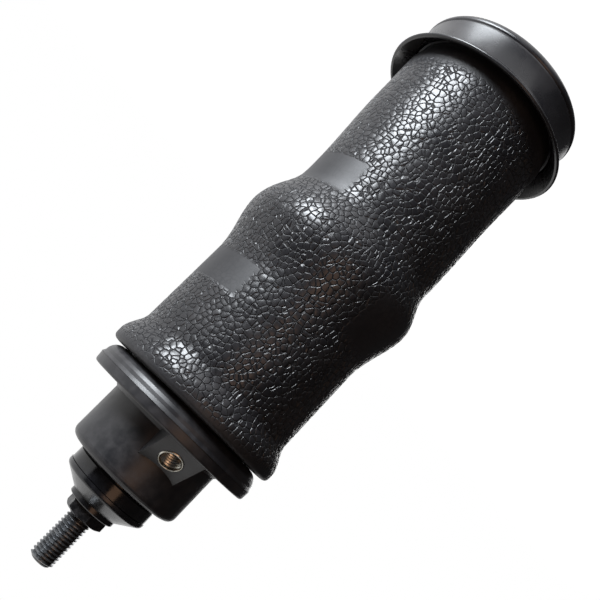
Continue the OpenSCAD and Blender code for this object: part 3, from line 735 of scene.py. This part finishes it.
rod_outline = [
    (HAIR, rod_low.z), (TENON_RADIUS - CHAMFER, rod_low.z),
    (TENON_RADIUS, rod_low.z + CHAMFER), (TENON_RADIUS, tenon_top),
    (ROD_RADIUS - SMALL_CHAMFER, tenon_top), (ROD_RADIUS, tenon_top + SMALL_CHAMFER),
    (ROD_RADIUS, shoulder), (STUD_RADIUS, shoulder),
    (STUD_RADIUS, thread_start + RUNOUT_START), (core, thread_start + RUNOUT_END),
    (core, rod_high.z - TIP_CHAMFER), (core - TIP_CHAMFER, rod_high.z), (HAIR, rod_high.z)]
rod = turn("piston_rod_threaded", rod_outline, SMALL_STEPS)
focus(rod)
thread.select_set(True)
bpy.ops.object.join()
dress(rod, finishes["rod_steel"])
shade(rod, CRISP_ANGLE)
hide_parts("piston_rod")
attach(rod, "upper")
print("thread turns:", thread_turns)

# %% [markdown]
# The end cap. It is one moulded pot: a rounded closed end with a fine crease round it, a plain
# wall, and a rim that flares out like a funnel. Bevels on a cylinder would give the roundings,
# but not the crease. Turning one outline gives the whole pot, and the crease is a small step
# in that outline.

# %% End cap with its crease
CAP_WALL = 54.75 * MM
CAP_RIM = 61.25 * MM
CAP_FLARE = 22.3 * MM
CAP_THICKNESS = 3.0 * MM
CAP_FLOOR = 4.0 * MM
CAP_HOLE = 24.1 * MM
CAP_COLLAR = 20.1 * MM
COLLAR_FOOT = 30.0 * MM
COLLAR_OUTSIDE = 29.0 * MM
COLLAR_TOP = 7.0 * MM
COLLAR_LOW = 3.1 * MM
CREASE = 6.2 * MM
END_RADIUS = 5.2 * MM
LIP_RADIUS = 1.0 * MM
closed_end = [(CAP_WALL + 0.2 * MM - END_RADIUS + END_RADIUS * sin(radians(step)),
               END_RADIUS - END_RADIUS * cos(radians(step))) for step in range(0, 91, 10)]
outer_wall = [
    (CAP_WALL, CREASE - 0.5 * MM), (CAP_WALL - 0.5 * MM, CREASE),
    (CAP_WALL - 0.2 * MM, CREASE + 0.5 * MM), (CAP_WALL - 0.1 * MM, CREASE + 1.4 * MM),
    (CAP_WALL - 0.5 * MM, CAP_FLARE - 1.0 * MM), (CAP_WALL + 0.1 * MM, CAP_FLARE + 0.1 * MM),
    (CAP_WALL + 1.0 * MM, CAP_FLARE + 0.8 * MM), (CAP_RIM - 2.0 * MM, rim_height - 2.3 * MM)]
lip = [(CAP_RIM - LIP_RADIUS + LIP_RADIUS * cos(radians(turned)),
        rim_height - LIP_RADIUS + LIP_RADIUS * sin(radians(turned)))
       for turned in range(-60, 91, 15)]
inner_wall = [
    (CAP_RIM - 2.0 * MM, rim_height), (CAP_WALL - 0.5 * MM, CAP_FLARE + 1.0 * MM),
    (CAP_WALL - CAP_THICKNESS, CAP_FLARE - 1.5 * MM),
    (CAP_WALL - CAP_THICKNESS, CAP_FLOOR + 1.0 * MM),
    (CAP_WALL - CAP_THICKNESS - 1.0 * MM, CAP_FLOOR), (COLLAR_FOOT, CAP_FLOOR)]
collar = [(COLLAR_OUTSIDE, COLLAR_TOP), (CAP_COLLAR, COLLAR_TOP), (CAP_COLLAR, COLLAR_LOW),
          (CAP_HOLE, COLLAR_LOW)]
cap_outline = [(CAP_HOLE, 0)] + closed_end + outer_wall + lip + inner_wall + collar
cap = turn("end_cap_creased", cap_outline, LARGE_STEPS)
shade(cap, CRISP_ANGLE)
dress(cap, finishes["cap_plastic"])
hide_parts("end_cap")
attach(cap, "lower")
print("cap:", len(cap.data.polygons), "faces")

# %% [markdown]
# The air port's insert. It is a short metal tube, moulded into the sloping pad, with a thread
# cut inside. Cutting a thread with a boolean is slow and leaves ragged faces. So the tube is
# turned, its thread is wound inside it, and the finished piece is tipped so that its axis is
# the port's axis.

# %% Port insert with its inner thread
port = next(mount for mount in frame["record"]["mounts"] if mount["name"] == "air_port")
port_axis = Vector(port["axis"]).normalized()
PORT_LENGTH = port["dims"]["length_mm"] * MM
PORT_BORE = port["dims"]["r_mm"] * MM
PORT_ROOT = PORT_BORE + 0.6 * MM
PORT_OUTSIDE = 6.6 * MM
PORT_PITCH = 1.5 * MM
PORT_CHAMFER = 0.35 * MM
BORE_CHAMFER = 0.15 * MM
THREAD_INSET = 0.3 * MM
half = PORT_LENGTH / 2
tube_outline = [
    (PORT_ROOT, -half), (PORT_OUTSIDE, -half), (PORT_OUTSIDE, half - PORT_CHAMFER),
    (PORT_OUTSIDE - PORT_CHAMFER, half), (PORT_ROOT + BORE_CHAMFER, half),
    (PORT_ROOT, half - BORE_CHAMFER)]
insert = turn("port_insert_threaded", tube_outline, SMALL_STEPS)
port_turns = int((PORT_LENGTH - PORT_PITCH) / PORT_PITCH)
# an inner thread is an outer one mirrored about the root
mirrored = thread_section(2 * PORT_ROOT - PORT_BORE, PORT_ROOT - PORT_BORE, PORT_PITCH,
                          THREAD_INSET - half)
inside = [(2 * PORT_ROOT - r, z) for r, z in mirrored]
inner_thread = wind("insert_thread", inside, PORT_PITCH, port_turns)
focus(inner_thread)
bpy.ops.object.mode_set(mode="EDIT")
bpy.ops.mesh.select_all(action="SELECT")
bpy.ops.mesh.normals_make_consistent(inside=True)
bpy.ops.object.mode_set(mode="OBJECT")
focus(insert)
inner_thread.select_set(True)
bpy.ops.object.join()
shade(insert, CRISP_ANGLE)
insert.rotation_mode = "QUATERNION"
insert.rotation_quaternion = port_axis.to_track_quat("Z", "Y")
insert.location = Vector(port["pos_m"])
bpy.ops.object.transform_apply(location=True, rotation=True, scale=False)
dress(insert, finishes["yellow_metal"])
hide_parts("port_insert")
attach(insert, "upper")
print("insert turns:", port_turns)


# %% [markdown]
# Light. The photograph has one broad cool light above the picture, towards the cap's end. The
# camera is so near that the cap mirrors a lower direction than the sleeve does, so a second,
# weaker box hangs beside the first for the cap's highlight. A faint warm lamp near the camera
# tints the dark side, and one lamp behind keeps the other sides readable. A sky texture would
# light all sides alike, and black rubber needs one clear highlight, so these are area lamps,
# placed along the camera's own right, back and up directions.

# %% Lamps
COOL = (0.90, 0.95, 1.0)
WARM = (1.0, 0.60, 0.38)
NEUTRAL = (1.0, 1.0, 1.0)
# name, direction, distance, width, length, power and colour
LAMPS = (("key", 0.70 * right + 0.40 * back - 0.60 * up, 1.0, 0.54, 0.40, 20, COOL),
         ("key_low", 0.64 * right + 0.17 * back - 0.75 * up, 1.0, 0.60, 0.32, 5, COOL),
         ("glow", back - 0.25 * right + 0.05 * up, 0.8, 0.30, 0.66, 0.85, WARM),
         ("behind", -back - 0.25 * right, 1.3, 0.8, 0.8, 5, NEUTRAL))


def facing_frame(direction):
    """A turn that points local Z along a direction and keeps local Y near the part's axis."""
    out = direction.normalized()
    along = (up - up.dot(out) * out).normalized()
    across = along.cross(out)
    return Matrix((across, along, out)).transposed().to_quaternion()


def hang_lamp(name, direction, distance, width, length, power, colour):
    """A soft box whose length runs along the part's axis."""
    data = bpy.data.lights.new(name, "AREA")
    data.shape = "RECTANGLE"
    data.size = width
    data.size_y = length
    data.energy = power
    data.color = colour
    holder = bpy.data.objects.new(name, data)
    bpy.context.scene.collection.objects.link(holder)
    holder.location = aim + direction.normalized() * distance
    holder.rotation_mode = "QUATERNION"
    holder.rotation_quaternion = facing_frame(direction)


for row in LAMPS:
    hang_lamp(*row)
print("lamps:", [row[0] for row in LAMPS])


# %% [markdown]
# The floor. The photograph shows the part on plain white, free of any floor. A floor right
# under it would mirror white into its lower half, so this one lies well below. It is white to
# the camera and in reflections, through the Light Path node, and still takes the shadow. More
# light on it would give the same white, but would wash out the black part.

# %% Floor
FLOOR_HEIGHT = -1.3
FLOOR_SIZE = 12
FLOOR_LIFT = 0.92


def sees(tree):
    """1 for camera, glossy and transmission rays, else 0."""
    path = tree.nodes.new("ShaderNodeLightPath").outputs
    direct = combine(tree, "MAXIMUM", path["Is Camera Ray"], path["Is Glossy Ray"])
    return combine(tree, "MAXIMUM", direct, path["Is Transmission Ray"])


let_go()
bpy.ops.mesh.primitive_plane_add(size=FLOOR_SIZE, location=(0, 0, FLOOR_HEIGHT))
floor = bpy.context.object
floor.name = "floor"
floor_finish, floor_tree, floor_shader = new_material("floor_white")
floor_shader["Base Color"].default_value = WHITE_FLOOR
floor_shader["Roughness"].default_value = 0.9
floor_shader["Specular IOR Level"].default_value = 0.1
floor_shader["Emission Color"].default_value = WHITE
floor_tree.links.new(combine(floor_tree, "MULTIPLY", sees(floor_tree), FLOOR_LIFT),
                     floor_shader["Emission Strength"])
dress(floor, floor_finish)
print("floor at", FLOOR_HEIGHT, "m")

# %% [markdown]
# Two dark cloths hang out of the picture, one behind the camera and one beside the part, on
# the side away from the key light. A photographer puts them there so that glossy black has
# something dark to reflect, and the highlight stands out. A darker material would only hide
# that all of its surroundings are white.

# %% Dark backdrops
# name, the way it faces, its middle, width and length
CLOTHS = (("side_backdrop", right, aim - 0.42 * right + 0.15 * back - 0.3 * up, 1.8, 2.6),
          ("rear_backdrop", back, aim + 0.85 * back - 0.25 * up, 2.6, 3.0))
cloth_finish = two_tone("backdrop_cloth", RUBBER_BLACK, PLASTIC_CHALKY, 12, (0.9, 1.0), grain=600)


def hang_cloth(name, facing_way, place, width, length):
    let_go()
    bpy.ops.mesh.primitive_plane_add(size=1)
    cloth = bpy.context.object
    cloth.name = name
    cloth.scale = (width, length, 1)
    cloth.rotation_mode = "QUATERNION"
    cloth.rotation_quaternion = facing_frame(facing_way)
    cloth.location = place
    cloth.visible_camera = False
    dress(cloth, cloth_finish)


for row in CLOTHS:
    hang_cloth(*row)
print("cloths:", [row[0] for row in CLOTHS])

# %% [markdown]
# The world is the white background of the photograph. It is full white to the camera and in
# reflections, but lights the part with only a little of that, so that shadows stay deep. A
# white card behind the part would do the same from one side only.

# %% White world
WORLD_LIGHT = 0.12
world = bpy.data.worlds.new("studio")
bpy.context.scene.world = world
world.use_nodes = True
world_tree = world.node_tree
backdrop = world_tree.nodes["Background"]
backdrop.inputs["Color"].default_value = WHITE
world_tree.links.new(spread(world_tree, sees(world_tree), 0.0, 1.0, WORLD_LIGHT, 1.0),
                     backdrop.inputs["Strength"])
bpy.context.scene.view_settings.view_transform = "Standard"
print("world light:", WORLD_LIGHT)
